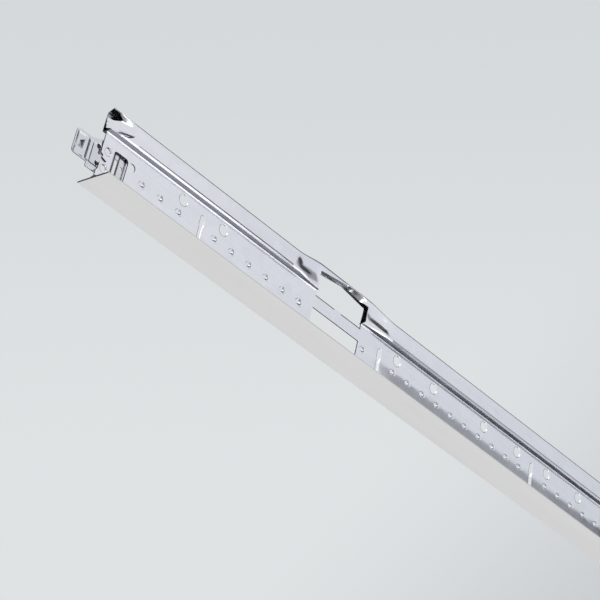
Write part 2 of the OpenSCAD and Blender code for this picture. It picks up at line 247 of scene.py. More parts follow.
def circle(cx, cz, r, n=32, rz=None):
    a = np.arange(n) * 2 * math.pi / n
    return np.stack([cx + r * np.cos(a), cz + (rz or r) * np.sin(a)], 1)


def arc(cx, cz, r, a0, a1, n=8):
    a = np.radians(np.linspace(a0, a1, n + 1))
    return np.stack([cx + r * np.cos(a), cz + r * np.sin(a)], 1)


def round_rect(x, z, w, h, r, n=6):
    return np.concatenate([arc(x + w - r, z + r, r, -90, 0, n), arc(x + w - r, z + h - r, r, 0, 90, n),
                           arc(x + r, z + h - r, r, 90, 180, n), arc(x + r, z + r, r, 180, 270, n)])


def inside(points, loop):
    """Which points lie inside a closed loop."""
    x, z = points[:, 0], points[:, 1]
    odd = np.zeros(len(points), bool)
    for (x0, z0), (x1, z1) in zip(loop, np.roll(loop, -1, 0)):
        if z0 == z1:
            continue
        hit = ((z0 > z) != (z1 > z)) & (x < (x1 - x0) * (z - z0) / (z1 - z0) + x0)
        odd ^= hit
    return odd


def fill(outer, holes, grid=()):
    """Triangles of a flat shape with holes, counter-clockwise."""
    loops = [np.asarray(outer, float)] + [np.asarray(h, float) for h in holes]
    pts, edges = [], []
    for loop in loops:
        n = len(pts)
        pts += [tuple(p) for p in loop]
        edges += [(n + i, n + (i + 1) % len(loop)) for i in range(len(loop))]
    pts += [tuple(p) for p in grid]
    co, _, tri, _, _, _ = delaunay_2d_cdt([Vector(p) for p in pts], edges, [], 1, 1e-7, False)
    co = np.array([tuple(c) for c in co])
    tri = np.array([t for t in tri if len(t) == 3], int)
    mid = co[tri].mean(1)
    keep = inside(mid, loops[0])
    for loop in loops[1:]:
        near = ((mid >= loop.min(0)) & (mid <= loop.max(0))).all(1) & keep
        index = np.nonzero(near)[0]
        if len(index):
            keep[index[inside(mid[index], loop)]] = False
    tri = tri[keep]
    a, b, c = co[tri[:, 0]], co[tri[:, 1]], co[tri[:, 2]]
    area = (b[:, 0] - a[:, 0]) * (c[:, 1] - a[:, 1]) - (b[:, 1] - a[:, 1]) * (c[:, 0] - a[:, 0])
    tri[area < 0] = tri[area < 0][:, ::-1]
    return co, tri[np.abs(area) > 1e-9]


def weld(chunks):
    """Flat triangulations put together, with shared points made one. Each point keeps its rise."""
    co = np.concatenate([c[0] for c in chunks])
    rise = np.concatenate([c[2] if len(c) > 2 else np.zeros(len(c[0])) for c in chunks])
    tri, n = [], 0
    for c in chunks:
        tri.append(np.asarray(c[1]) + n)
        n += len(c[0])
    key = np.round(co / 1e-4).astype(np.int64)
    _, first, back = np.unique(key, axis=0, return_index=True, return_inverse=True)
    tri = back.ravel()[np.concatenate(tri)]
    good = (tri[:, 0] != tri[:, 1]) & (tri[:, 1] != tri[:, 2]) & (tri[:, 2] != tri[:, 0])
    return co[first], tri[good], rise[first]


def thick(co, tri, near, far):
    """A closed plate on the web's plane from flat triangles, with the depth of its near and its far face."""
    n = len(co)
    near = np.broadcast_to(near, n)
    far = np.broadcast_to(far, n)
    verts = np.concatenate([np.stack([co[:, 0], y, co[:, 1]], 1) for y in (near, far)])
    faces = [list(t) for t in tri] + [[t[2] + n, t[1] + n, t[0] + n] for t in tri]
    edges = {(t[i], t[(i + 1) % 3]) for t in map(tuple, tri) for i in range(3)}
    walls = [[b, a, a + n, b + n] for a, b in sorted(edges) if (b, a) not in edges]
    return verts, faces + walls, range(len(faces), len(faces) + len(walls))


# The bulb

def bulb_ring(skin):
    """Points round the bulb as (y, z), set in by a skin, with close points beside the corners."""
    y, low, high = BULB_W / 2 - skin, BULB_Z + skin, HEIGHT - skin
    r, q = BULB_R - skin, max(FOOT_R - 0.8 * skin, FOOT_R_MIN)
    bevel = BULB_Z + BEVEL_H
    side = np.concatenate([[low + q + CORNER_GAP, bevel - BEVEL_GAP, bevel + BEVEL_GAP],
                           np.linspace(bevel + WALL_FROM, high - r, WALL_POINTS)[:-1], [high - r - CORNER_GAP]])
    n = CORNER_STEPS
    up = np.stack([np.full(len(side), y), side], 1)
    over = np.stack([FLAT_POINTS[::-1] * (y - r - CORNER_GAP), np.full(len(FLAT_POINTS), high)], 1)
    down = np.stack([np.full(len(side), -y), side[::-1]], 1)
    under = np.stack([FLAT_POINTS * (y - q - CORNER_GAP), np.full(len(FLAT_POINTS), low)], 1)
    ring = np.concatenate([arc(y - q, low + q, q, -90, 0, n), up, arc(y - r, high - r, r, 0, 90, n), over,
                           arc(r - y, high - r, r, 90, 180, n), down, arc(q - y, low + q, q, 180, 270, n), under])
    ring[:, 0] *= 1 - BEVEL / (BULB_W / 2) * np.clip((bevel - ring[:, 1]) / BEVEL_H, 0, 1)
    out = np.abs(ring[:, 0])
    out = np.minimum(out, FLAT_FROM) + FLATTER * np.maximum(out - FLAT_FROM, 0)
    ring[:, 1] += SHOULDER_TILT * (out - TILT_LEVEL) * ease((BULB_Z + TILT_TOP - ring[:, 1]) / TILT_FADE)
    return ring


def press_at(s, top, middle, foot):
    """Depth of a dent at a share of the bulb's height, from its depth at the top, the middle and the foot."""
    return (top + (middle - top) * ease(s / CREASE_TOP)
            + (foot - middle) * ease((s - CREASE_HI) / (CREASE_LO - CREASE_HI)))


def end_dent(s, y, z, x):
    """Depth of the end's dent in the near wall, and how far its corner is bent out along X."""
    # The dent has a round far end; its wall slopes in from the top and then runs upright
    reach = SWAGE_L - SWAGE_ROUND * np.abs((s - SWAGE_MID) / SWAGE_MID) ** SWAGE_POWER
    run = 1 - np.clip(x / reach, 0, 1) ** 3
    deep = SWAGE_IN * run + SWAGE_LIP * ease(1 - x / SWAGE_LIP_L)
    deep = deep * np.clip((s - SWAGE_TOP) / (SWAGE_BREAK - SWAGE_TOP), 0, 1) * ease((1.0 - s) / SWAGE_FOOT)
    wave = WAVE * np.sin(2 * math.pi * z / WAVE_PITCH) * ease(1 - x / WAVE_L)
    wave = wave * ease((s - WAVE_FROM) / WAVE_FADE) * ease((WAVE_TO - s) / WAVE_FADE)
    return deep + wave, -SWAGE_CORNER * ease(1 - x / SWAGE_CORNER_L) * (1 - s) * (0.5 - y / BULB_W)


def notch_dents(s, x):
    """Depth of a notch's dents in the near and the far wall, and how far the bulb's top rises."""
    past, end = x - NOTCH_X, NOTCH_L / 2
    out = CRUSH_REACH - abs(past)
    run = float(ease(out / CRUSH_L))
    lip = float(ease((abs(past) - end) / LIP_L))
    dip, foot_run = (pair[int(past > 0)] for pair in (CRUSH_DIP, FOOT_RUN))
    quick = CRUSH_QUICK * float(ease(out / CRUSH_FADE)) + (1 - CRUSH_QUICK) * run
    far = press_at(s, PINCH_IN * run, (PINCH_IN + dip * lip) * quick,
                   PINCH_IN * float(ease((out - FOOT_LAG) / foot_run)))
    strap = PINCH_H + (STRAP_H - PINCH_H) * min(max(past / (end + NOTCH_FLARE), 0), 1)
    low = s * BULB_H
    curl = CURL * ease((end + CURL_END - past) / (2 * CURL_END)) * np.clip(low - CURL_FROM, 0, CURL_H) / CURL_H
    fold = FOLD * ease((end - past) / FOLD_FADE) * np.clip((low - FOLD_FROM) / (strap - FOLD_FROM), 0, 1)
    near = far + float(ease(past / FOLD_START)) * np.maximum(curl, fold)
    return near, far, PINCH_RISE * run


def pressed(ring, skin, x):
    """The ring at a distance from its end of the tee, with its dents: x, y, z of each point."""
    y, z = ring[:, 0], ring[:, 1]
    s = (HEIGHT - z) / BULB_H
    near = far = dx = np.zeros(len(ring))
    rise = 0.0
    if x <= SWAGE_L:
        near, dx = end_dent(s, y, z, x)
    if abs(x - NOTCH_X) <= CRUSH_REACH:
        near, far, rise = notch_dents(s, x)
    half = BULB_W / 2 - np.where(y < 0, near, far)
    return np.stack([x + dx, y * (half - skin) / (BULB_W / 2 - skin), z + rise * (1 - s)], 1)


def bulb_stations(pitch):
    """Distances from the end of the tee at which a ring stands, close together where the bulb is pressed."""
    half = NOTCH_L / 2
    return np.concatenate([np.arange(0, SWAGE_L + TINY, pitch), PLAIN_RINGS,
                           np.arange(NOTCH_X - CRUSH_REACH, NOTCH_X - half + TINY, pitch),
                           np.arange(NOTCH_X - STRAP_REACH, NOTCH_X + STRAP_REACH + TINY, STRAP_PITCH),
                           np.arange(NOTCH_X + half, NOTCH_X + CRUSH_REACH + TINY, pitch),
                           np.linspace(MIDDLE_FROM, HALF, MIDDLE_RINGS)])


def tube_faces(first, rows, m):
    """Quads between rings of m points, from the tube's first point on."""
    return [[i + j, i + (j + 1) % m, i + m + (j + 1) % m, i + m + j]
            for i in range(first, first + (rows - 1) * m, m) for j in range(m)]


def bulb_mesh():
    """The hollow bulb as an outer and an inner tube, closed at both ends of the tee."""
    skins, offset = [], np.array([-HALF, 0, 0])
    for skin, pitch in SKINS:
        xs, ring = bulb_stations(pitch), bulb_ring(skin)
        other = ring * np.array([-1, 1])
        left = [pressed(ring, skin, x) + offset for x in xs]
        right = [turned(pressed(other, skin, x) + offset) for x in xs[-2::-1]]
        skins.append(np.array(left + right))
    (rows, m), inner_rows = skins[0].shape[:2], len(skins[1])
    n = rows * m
    faces = tube_faces(0, rows, m) + [f[::-1] for f in tube_faces(n, inner_rows, m)]
    outer_end, inner_end, sides = n - m, n + (inner_rows - 1) * m, len(faces)
    for j in range(m):
        k = (j + 1) % m
        faces += [[j, n + j, n + k, k], [outer_end + k, inner_end + k, inner_end + j, outer_end + j]]
    return np.concatenate([s.reshape(-1, 3) for s in skins]), faces, range(sides, len(faces))


def notch_cut():
    """The prism that opens the bulb over the notch."""
    half, wide, top = NOTCH_L / 2, NOTCH_L / 2 + NOTCH_FLARE, HEIGHT + PINCH_RISE
    roof = [[wide, top - STRAP_H], [0, top - PINCH_H], [-wide, top - STRAP_H]]
    loop = [[-half, NOTCH_SILL], [half, NOTCH_SILL], [half, BULB_Z], [wide, BULB_Z + NOTCH_FLARE], *roof,
            [-wide, BULB_Z + NOTCH_FLARE], [-half, BULB_Z]]
    return thick(*fill(np.array(loop) + np.array([NOTCH_X - HALF, 0]), []), -BULB_W, BULB_W)


def lance_cut():
    """The prism that opens the near wall at the end, between the roof and the wall that is pressed in."""
    return thick(*fill(np.array(LANCE) - np.array([HALF, 0]), []), -BULB_W, BULB_W / 2 - SHEET - 0.02)


# The web

def slot_loop(x):
    """Outline of a slot with its wider head."""
    r, h = SLOT_W / 2, SLOT_HEAD_W / 2
    lo, hi = SLOT_TOP - SLOT_HEAD_H - SLOT_SLOPE, SLOT_TOP - SLOT_HEAD_H + SLOT_SLOPE
    return np.concatenate([arc(x, SLOT_FOOT + r, r, 180, 360, 8), [[x + r, lo], [x + h, hi]],
                           arc(x, SLOT_TOP - h, h, 0, 180, 10), [[x - h, hi], [x - r, lo]]])


def end_punched():
    """Slots and hanger holes of one end of the tee, with x counted from its end."""
    holes = []
    for k in range(SLOTS_EACH_END):
        x = SLOT_FIRST + k * SLOT_PITCH
        holes.append(slot_loop(x))
        places = [HOLE_NEAR] + ([-HOLE_NEAR] if k != 1 else []) + ([HOLE_FAR] if k > 0 else [])
        places += [-HOLE_FAR] if k > 1 else []
        holes += [circle(x + d, HOLE_Z, HOLE_D / 2, HOLE_SIDES) for d in places]
    return holes


def end_openings():
    """The notch's lower opening, the clip's pocket and its bores, with x counted from the end."""
    low_h = NOTCH_LOW_TOP - NOTCH_LOW_FOOT
    return [round_rect(NOTCH_X - NOTCH_LOW_L / 2, NOTCH_LOW_FOOT, NOTCH_LOW_L, low_h, SMALL_R),
            round_rect(POCKET_X, POCKET_LOW, POCKET_W, POCKET_H, CLIP_R),
            *[circle(EYELET_X, z, EYELET_D / 2 + EYELET_PLAY) for z in EYELET_Z],
            circle(*SPARE_BORE, EYELET_D / 2)]


def split_at_rows(loop):
    """The loop with a point wherever it crosses a row of the spreading part."""
    out = []
    for p, q in zip(loop, np.roll(loop, -1, 0)):
        out.append(p)
        cross = [(z - p[1]) / (q[1] - p[1]) for z in FLARE_ROWS if min(p[1], q[1]) < z < max(p[1], q[1])]
        out += [p + (q - p) * t for t in sorted(cross)]
    return np.array(out)


def both_ends(loops):
    """Loops of one end, placed at both ends of the tee."""
    left = [split_at_rows(h) - np.array([HALF, 0]) for h in loops]
    return left + [(h * np.array([-1, 1]))[::-1] for h in left]


def grown(loop, d):
    """A closed loop moved outwards by a distance."""
    step = np.roll(loop, -1, 0) - np.roll(loop, 1, 0)
    out = np.stack([step[:, 1], -step[:, 0]], 1)
    return loop + d * out / np.linalg.norm(out, axis=1, keepdims=True)


def rim_patch(loop):
    """A flat ring and the rolled-over rim of a punched hole: places, triangles and rise."""
    n = len(loop)
    tri = []
    for i in (0, n):
        for j in range(n):
            a, b = i + j, i + (j + 1) % n
            tri += [[a, b, n + b], [a, n + b, n + a]]
    co = np.concatenate([grown(loop, RIM_W + RIM_FLAT), grown(loop, RIM_W), loop])
    return co, np.array(tri), np.array([0.0] * (2 * n) + [-RIM_DROP] * n)


def web_outline():
    """Outline of the web from its left end to its middle, with x counted from the end."""
    half, tab = NOTCH_L / 2, TAB_W / 2
    foot = [[0, WEB_LOW], [HALF, WEB_LOW], *[[HALF, z] for z in FLARE_ROWS], [HALF, WEB_TOP]]
    notch = np.array([[half, WEB_TOP], [half, NOTCH_SILL], [tab + TAB_SLOPE, NOTCH_SILL],
                      [tab, NOTCH_SILL + TAB_H], [-tab, NOTCH_SILL + TAB_H], [-tab - TAB_SLOPE, NOTCH_SILL],
                      [-half, NOTCH_SILL], [-half, WEB_TOP]]) + np.array([NOTCH_X, 0])
    return np.concatenate([foot, notch, [[0, WEB_TOP]], END_EDGE])


def stitches(holes):
    """Places and sizes of the stitches of the whole web, clear of the notches and of the holes."""
    found = []
    boxes = [(h.min(0), h.max(0)) for h in holes]
    notch_gap = NOTCH_LOW_L / 2 + STITCH_NOTCH_GAP
    for k in range(int((LENGTH - 2 * STITCH_FIRST) / STITCH_PITCH) + 1):
        x = -HALF + STITCH_FIRST + k * STITCH_PITCH
        if abs(abs(x) - (HALF - NOTCH_X)) < notch_gap:
            continue
        size = STITCH_BIG_SIZE if k == STITCH_BIG else 1.0
        a = STITCH_A * size * STITCH_ROOM + RIM_W + RIM_FLAT
        for shift in STITCH_SHIFTS:
            at = x + shift
            if all(at + a < lo[0] or at - a > hi[0] or STITCH_Z + a < lo[1] or STITCH_Z - a > hi[1]
                   for lo, hi in boxes):
                found.append((at, size))
                break
    return found


def stitch_patch(x, size):
    """A raised button in a ring-shaped groove, as rings of points: places, triangles and rise."""
    n, last = STITCH_SIDES, len(STITCH_RINGS) * STITCH_SIDES
    co, rise, tri = [], [], []
    for r, h in STITCH_RINGS:
        co.append(circle(x, STITCH_Z, STITCH_A * size * r, n, STITCH_B * size * r))
        rise += [h * STITCH_RISE * size] * n
    for a, b, c, d in tube_faces(0, len(STITCH_RINGS), n):
        tri += [[a, b, c], [a, c, d]]
    tri += [[last - n + j, last - n + (j + 1) % n, last] for j in range(n)]
    return np.concatenate(co + [[[x, STITCH_Z]]]), np.array(tri), np.array(rise + [STITCH_RISE * size])


def spread(x):
    """How far the web's foot spreads at a place along the tee: only between the notches."""
    return FLARE * ease((HALF - NOTCH_X - FLARE_GAP - np.abs(x)) / FLARE_FADE)


def flare(co):
    """How far the web's faces spread towards the flange."""
    return spread(co[:, 0]) * ease((FLARE_TOP - co[:, 1]) / (FLARE_TOP - FLARE_FOOT))


def flare_grid(lo, hi, loops):
    """Points on the spreading part of the web, clear of its holes."""
    gx, gz = np.meshgrid(np.arange(lo + GRID_START, hi - GRID_STOP, GRID_PITCH), FLARE_ROWS)
    grid = np.stack([gx.ravel(), gz.ravel()], 1)
    for h in loops:
        grid = grid[((grid < h.min(0) - GRID_CLEAR) | (grid > h.max(0) + GRID_CLEAR)).any(1)]
    return grid


def web_cuts(middles):
    """Places along X between which the web is filled, clear of the middles of the stitches."""
    cuts = [-HALF]
    for k in range(1, SLOTS_EACH_END - 1):
        tries = -HALF + SLOT_FIRST + (k + 0.5) * SLOT_PITCH + CUT_SHIFTS
        clear = [min(np.abs(middles - t).min(), np.abs(middles + t).min()) for t in tries]
        cuts.append(tries[int(np.argmax(clear))])
    nearest = float(middles[np.argmin(np.abs(middles))])
    cuts.append(0.0 if abs(nearest) > CUT_CLEAR else nearest + STITCH_PITCH / 2)
    return np.array(cuts + [-c for c in cuts[-2::-1]])


def web_mesh():
    """The double web with its holes, rims and stitches, filled pitch by pitch so that triangles stay short."""
    punched, openings = both_ends(end_punched()), both_ends(end_openings())
    buttons = [stitch_patch(x, size) for x, size in stitches(punched + openings)]
    holes = openings + [grown(h, RIM_W + RIM_FLAT) for h in punched] + [p[0][:STITCH_SIDES] for p in buttons]
    outline = web_outline() - np.array([HALF, 0])
    cuts = web_cuts(np.array([p[0][-1, 0] for p in buttons]))
    chunks = buttons + [rim_patch(h) for h in punched]
    for lo, hi in zip(cuts[:-1], cuts[1:]):
        mine = [h for h in holes if lo < h[:, 0].mean() < hi]
        if lo == cuts[0] or hi == cuts[-1]:
            loop = outline.copy()
            loop[1:3 + len(FLARE_ROWS), 0] = cuts[1]
            if hi == cuts[-1]:
                loop = (loop * np.array([-1, 1]))[::-1]
        else:
            right, left = ([[x, z] for z in FLARE_ROWS] for x in (hi, lo))
            loop = np.array([[lo, WEB_LOW], [hi, WEB_LOW], *right, [hi, WEB_TOP], [lo, WEB_TOP], *left[::-1]])
        grid = flare_grid(max(lo, GRID_END - HALF), min(hi, HALF - GRID_END), mine)
        chunks.append(fill(loop, mine, grid))
    co, tri, rise = weld(chunks)
    verts, faces, walls = thick(co, tri, -SHEET - flare(co) - rise, SHEET + flare(co) - rise)
    return verts, faces, [i for i in walls if rise[faces[i][0]] >= 0]


def loft_mesh(xs, profiles):
    """Closed sections as (y, z), counter-clockwise, at places along X, joined up."""
    m, rows = len(profiles[0]), len(xs)
    verts = np.concatenate([np.stack([np.full(m, x), p[:, 0], p[:, 1]], 1) for x, p in zip(xs, profiles)])
    faces = tube_faces(0, rows, m)
    ends = [list(range(m))[::-1], list(range((rows - 1) * m, rows * m))]
    return verts, faces + ends, (len(faces), len(faces) + 1)


def strip_mesh(profile, lo, hi):
    """A closed section run along X between two places."""
    return loft_mesh((lo, hi), [np.asarray(profile, float)] * 2)


def bend(side, corner_z, up, r, out=0.0):
    """Fillet section where the strip bends out of the web, towards one side."""
    a = np.radians(np.linspace(0, 90, 7))
    y = side * (SHEET + out + r - r * np.cos(a))
    z = corner_z + up * (r - r * np.sin(a))
    buried = [[side * (SHEET + out + r), corner_z - up * BURY_Z], [side * BURY_Y, corner_z - up * BURY_Z],
              [side * BURY_Y, corner_z + up * r]]
    pts = np.concatenate([np.stack([y, z], 1), buried])
    area = sum(p[0] * q[1] - q[0] * p[1] for p, q in zip(pts, np.roll(pts, -1, 0)))
    return pts if area > 0 else pts[::-1]


def step(side):
    """Section of the low step on one wall of the bulb: it comes out downwards, and its tail follows the bevel."""
    face = BULB_W / 2
    foot = face + STEP_OUT - STEP_TAIL * BEVEL / BEVEL_H
    y = side * np.array([face - 0.1, face, face + STEP_OUT, foot, foot - 0.3])
    turn, end = STEP_Z - STEP_H, STEP_Z - STEP_H - STEP_TAIL
    return np.stack([y, [STEP_Z, STEP_Z, turn, end, end]], 1)[::-side]


def bends():
    """Fillets where the strip bends out of the web, and the low steps beside the shoulder."""
    half, clear, end = NOTCH_L / 2, CRUSH_REACH + STEP_NOTCH_GAP, SWAGE_L + STEP_END_GAP
    spreading = np.linspace(NOTCH_X + SPREAD_FROM, NOTCH_X + SPREAD_TO, SPREAD_STEPS)
    steps = np.array([0, *spreading]) - HALF
    foot_x = np.concatenate([steps, -steps[::-1]])
    necks = ((0, NOTCH_X - half), (NOTCH_X + half, LENGTH - NOTCH_X - half), (LENGTH - NOTCH_X + half, LENGTH))
    walls = ((end, NOTCH_X - clear), (NOTCH_X + clear, LENGTH - NOTCH_X - clear),
             (LENGTH - NOTCH_X + clear, LENGTH - end))
    parts = []
    for side in (-1, 1):
        feet = [bend(side, CAP_SHEET + SHEET, 1, FLANGE_BEND_R, spread(x)) for x in foot_x]
        parts.append(loft_mesh(foot_x, feet))
        neck = bend(side, BULB_Z - NECK_BEND_R, -1, NECK_BEND_R)
        for section, runs in ((neck, necks), (step(side), walls)):
            parts += [strip_mesh(section, lo - HALF, hi - HALF) for lo, hi in runs]
    return parts


def burrs():
    """Shear burrs along the sill of each notch, on both sides of its tab, and across each end of the flange."""
    half, edge = NOTCH_L / 2, FACE_W / 2 - CAP_HEM - 0.1
    sill = arc(BURR_BURY - SHEET, NOTCH_SILL - BURR_DROP, BURR_R + BURR_BURY, 90, 270, 6)
    end = np.array([[-edge, END_BURR_LOW], [edge, END_BURR_LOW], [edge, END_BURR_TOP], *END_BURR,
                    [-edge, END_BURR_TOP]])
    runs = ((sill, NOTCH_X - half, NOTCH_X - TAB_W / 2 - BURR_GAPS[0]),
            (sill, NOTCH_X + TAB_W / 2 + BURR_GAPS[1], NOTCH_X + half), (end, -END_BURR_OUT, END_BURR_IN))
    parts = []
    for section, lo, hi in runs:
        v, f, _ = strip_mesh(section, lo - HALF, hi - HALF)
        parts += [(v, f, range(len(f))), (turned(v), f, range(len(f)))]
    return parts


def clad(ob):
    """The tee's two materials, for its faces and for its sheared edges, whose near-black colour is partly painted
    shade.
    """
    for mat in (steel, sheared_steel_and_shade):
        ob.data.materials.append(mat)
    return ob


def tee_body():
    """The rolled strip: the bulb with its cuts, joined to the web, the flange and their fillets."""
    bulb = clad(build("bulb", *bulb_mesh()))
    for shape in (notch_cut, lance_cut):
        v, f, _ = shape()
        for place in (v, turned(v)):
            cut(bulb, clad(build("cut", place, f, range(len(f)))))
    edge, low, high = FACE_W / 2 - CAP_SHEET - 0.05, CAP_SHEET, CAP_SHEET + SHEET
    flange = strip_mesh([[-edge, low], [edge, low], [edge, high], [-edge, high]], -HALF, HALF)
    rest = clad(build("rest", *merge([web_mesh(), flange] + bends() + burrs())))
    with bpy.context.temp_override(active_object=bulb, selected_editable_objects=[bulb, rest]):
        bpy.ops.object.join()
    bulb.name = bulb.data.name = "rolled_steel_tee"
    soften(bulb)
    return bulb


def face_cap():
    """Painted strip with a round hem folded over each flange edge."""
    r, e = CAP_TOP / 2, HEM_EDGE_R
    y = FACE_W / 2 - r - HEM_CLEAR
    edge, inner, low = FACE_W / 2 - CAP_HEM + e, FACE_W / 2 - CAP_SHEET, CAP_SHEET + SHEET
    one = np.concatenate([arc(y, r, r, -90, 90, 16), [[edge, CAP_TOP]], arc(edge, CAP_TOP - e, e, 90, 180, 3),
                          arc(edge, low + e, e, 180, 270, 3), [[inner, low], [inner, CAP_SHEET]]])
    other = (one * np.array([-1, 1]))[::-1]
    return build("hemmed_face_cap", *strip_mesh(np.concatenate([one, other]), -HALF, HALF))


# The splice clip

def clip_loop():
    """Outline of the clip: its tip with round corners, its neck and its root."""
    tip, r = CLIP_R - CLIP_REACH, ROOT_LOW_R
    return np.concatenate([[[-CLIP_NECK - ROOT_SLANT, CLIP_LOW]], arc(r - CLIP_NECK, ROOT_LOW + r, r, 180, 270, 4),
                           [[CLIP_ROOT_L, ROOT_LOW], [CLIP_ROOT_L, ROOT_HIGH], [0, ROOT_HIGH]],
                           arc(ROOT_HIGH_X, ROOT_HIGH - ROOT_HIGH_R, ROOT_HIGH_R, 90, 120, 4),
                           [[-CLIP_NECK, CLIP_HIGH]], arc(tip, CLIP_HIGH - CLIP_R, CLIP_R, 90, 180, 8),
                           arc(tip, CLIP_LOW + CLIP_R, CLIP_R, 180, 270, 8)])


def dip(x, z, deep, top, fade, lo, lo_fade, hi, hi_fade):
    """A dip in the clip below a height, between two places along it."""
    return deep * ease((top - z) / fade) * ease((x - lo) / lo_fade) * ease((hi - x) / hi_fade)


def clip_relief(x, z):
    """How far the clip's sheet stands away from the web."""
    # The panels slope gently below their top edge; the tip's panel and the root dip again near their lower edge
    deep = np.interp(x, RELIEF_X, RELIEF_Y) + dip(x, z, *TIP_DIP)
    deep *= ease((z - CLIP_LOW - RELIEF_FOOT) / RELIEF_FOOT_H) * ease((CLIP_HIGH - z - RELIEF_TOP) / RELIEF_TOP_H)
    deep += dip(x, z, *ROOT_DIP)
    for at_x, at_z in STAKES:
        deep += STAKE_DEEP * ease(1 - np.hypot(x - at_x, z - at_z) / STAKE_R)
    return deep + sum(d * ease((x - at) / run) for d, at, run in BACK_STEPS) * ease((BACK_END - x) / BACK_FADE)


def in_pit_shade(x, z):
    """Whether a place on the clip lies in the painted shade of a staking pit, set off towards the pit's lower
    right.
    """
    return any(math.hypot(x - at_x - STAKE_SHADE_SHIFT, z - at_z + STAKE_SHADE_SHIFT) < STAKE_SHADE_SHARE * STAKE_R
               for at_x, at_z in STAKES)


def clip_mesh():
    """The stamped clip with its window, bores and relief, its tongue and its eyelets."""
    window = np.array([[WINDOW_X0, POCKET_LOW], [WINDOW_X1, POCKET_LOW],
                       [WINDOW_X1, WINDOW_TOP], [WINDOW_X0, WINDOW_TOP]])
    bores = [circle(EYELET_X, z, EYELET_D / 2 - EYELET_WALL) for z in EYELET_Z]
    holes = [window, circle(*PILOT, PILOT_R, 20)] + bores
    loop = clip_loop()
    gx, gz = np.meshgrid(np.arange(-CLIP_REACH + 0.25, CLIP_ROOT_L, CLIP_GRID_X),
                         np.arange(CLIP_Z - 9.5, CLIP_Z + 9.6, CLIP_GRID_Z))
    grid = np.stack([gx.ravel(), gz.ravel()], 1)
    grid = grid[inside(grid, loop)]
    for h in holes:
        grid = grid[~inside(grid, (h - h.mean(0)) * CLIP_GRID_GROW + h.mean(0))]
    co, tri = fill(loop, holes, grid)
    near = SHEET + clip_relief(co[:, 0], co[:, 1])
    verts, faces, walls = thick(co, tri, near, near + CLIP_SHEET)
    # Faces in the lower right of each staking pit take the dark edge material as painted shade
    shaded_pits = [i for i, middle in enumerate(co[tri].mean(1)) if in_pit_shade(*middle)]
    return merge([(verts, faces, shaded_pits + list(walls)), tongue_mesh()] + [eyelet(EYELET_X, z) for z in EYELET_Z])


def tongue_mesh():
    """A lanced tab bent out towards the near side, highest at its free corner."""
    verts = [(x, y, z) for y in (TONGUE_ROOT_Y, TONGUE_ROOT_Y + TONGUE_T) for x, z in TONGUE_RIM]
    verts.append((TONGUE_TOP[0], TONGUE_TOP_Y, TONGUE_TOP[1]))
    slopes = [[i, (i + 1) % 4, 8] for i in range(4)]
    walls = [[(i + 1) % 4, i, i + 4, (i + 1) % 4 + 4] for i in range(4)]
    return np.array(verts), slopes + [[7, 6, 5, 4]] + walls, ()


def eyelet(x, z):
    """A short tube through the web with a rolled head."""
    ro, ri, e = EYELET_D / 2, EYELET_D / 2 - EYELET_WALL, EYELET_ROUND
    y0, y1 = -SHEET - EYELET_HEAD, SHEET + CLIP_SHEET + 0.02
    head = [(ri, y0 + e), (ri + 0.3 * e, y0 + 0.3 * e), (ri + e, y0),
            (ro - e, y0), (ro - 0.3 * e, y0 + 0.3 * e), (ro, y0 + e)]
    section = head + [(ro, y1), (ri, y1)]
    n, m = EYELET_SIDES, len(section)
    turns = np.arange(n) * 2 * math.pi / n
    verts = [(x + r * math.cos(a), y, z + r * math.sin(a)) for a in turns for r, y in section]
    faces = [[i % (n * m) for i in face] for face in tube_faces(0, n + 1, m)]
    return np.array(verts), faces, ()


def clips():
    """The clip at the left end, and the same one turned half round at the right end."""
    v, f, e = clip_mesh()
    v = v - np.array([HALF, 0, 0])
    return build("stamped_clip_left", v, f, e), build("stamped_clip_right", turned(v), f, e)


# Materials

def node_tree(name):
    mat = bpy.data.materials.new(name)
    mat.use_nodes = True
    return mat, mat.node_tree.nodes, mat.node_tree.links


def stretched(nodes, links, scale):
    """Object coordinates in metres, scaled along each axis."""
    co = nodes.new("ShaderNodeTexCoord")
    mp = nodes.new("ShaderNodeMapping")
    mp.inputs["Scale"].default_value = scale
    links.new(co.outputs["Object"], mp.inputs["Vector"])
    return mp.outputs["Vector"]


def noise(nodes, links, scale, detail=3.0, roughness=0.55):
    n = nodes.new("ShaderNodeTexNoise")
    n.inputs["Scale"].default_value = 1.0
    n.inputs["Detail"].default_value = detail
    n.inputs["Roughness"].default_value = roughness
    links.new(stretched(nodes, links, scale), n.inputs["Vector"])
    return n.outputs["Fac"]


def ranged(nodes, links, value, lo, hi, a=0.3, b=0.7):
    r = nodes.new("ShaderNodeMapRange")
    r.inputs["From Min"].default_value = a
    r.inputs["From Max"].default_value = b
    r.inputs["To Min"].default_value = lo
    r.inputs["To Max"].default_value = hi
    links.new(value, r.inputs["Value"])
    return r.outputs["Result"]


def total(nodes, links, a, b, operation="ADD"):
    m = nodes.new("ShaderNodeMath")
    m.operation = operation
    links.new(a, m.inputs[0])
    links.new(b, m.inputs[1])
    return m.outputs["Value"]


def shade(nodes, links, factor, dark, light, blend="MIX"):
    """Two colours mixed by a factor; each is a plain colour or another node's output."""
    mix = nodes.new("ShaderNodeMix")
    mix.data_type = "RGBA"
    mix.blend_type = blend
    for name, value in (("Factor", factor), ("A", dark), ("B", light)):
        if isinstance(value, bpy.types.NodeSocket):
            links.new(value, mix.inputs[name])
        else:
            mix.inputs[name].default_value = (*value, 1) if isinstance(value, tuple) else value
    return mix.outputs["Result"]


def bumped(nodes, links, height, strength, distance):
    b = nodes.new("ShaderNodeBump")
    b.inputs["Strength"].default_value = strength
    b.inputs["Distance"].default_value = distance
    links.new(height, b.inputs["Height"])
    return b.outputs["Normal"]


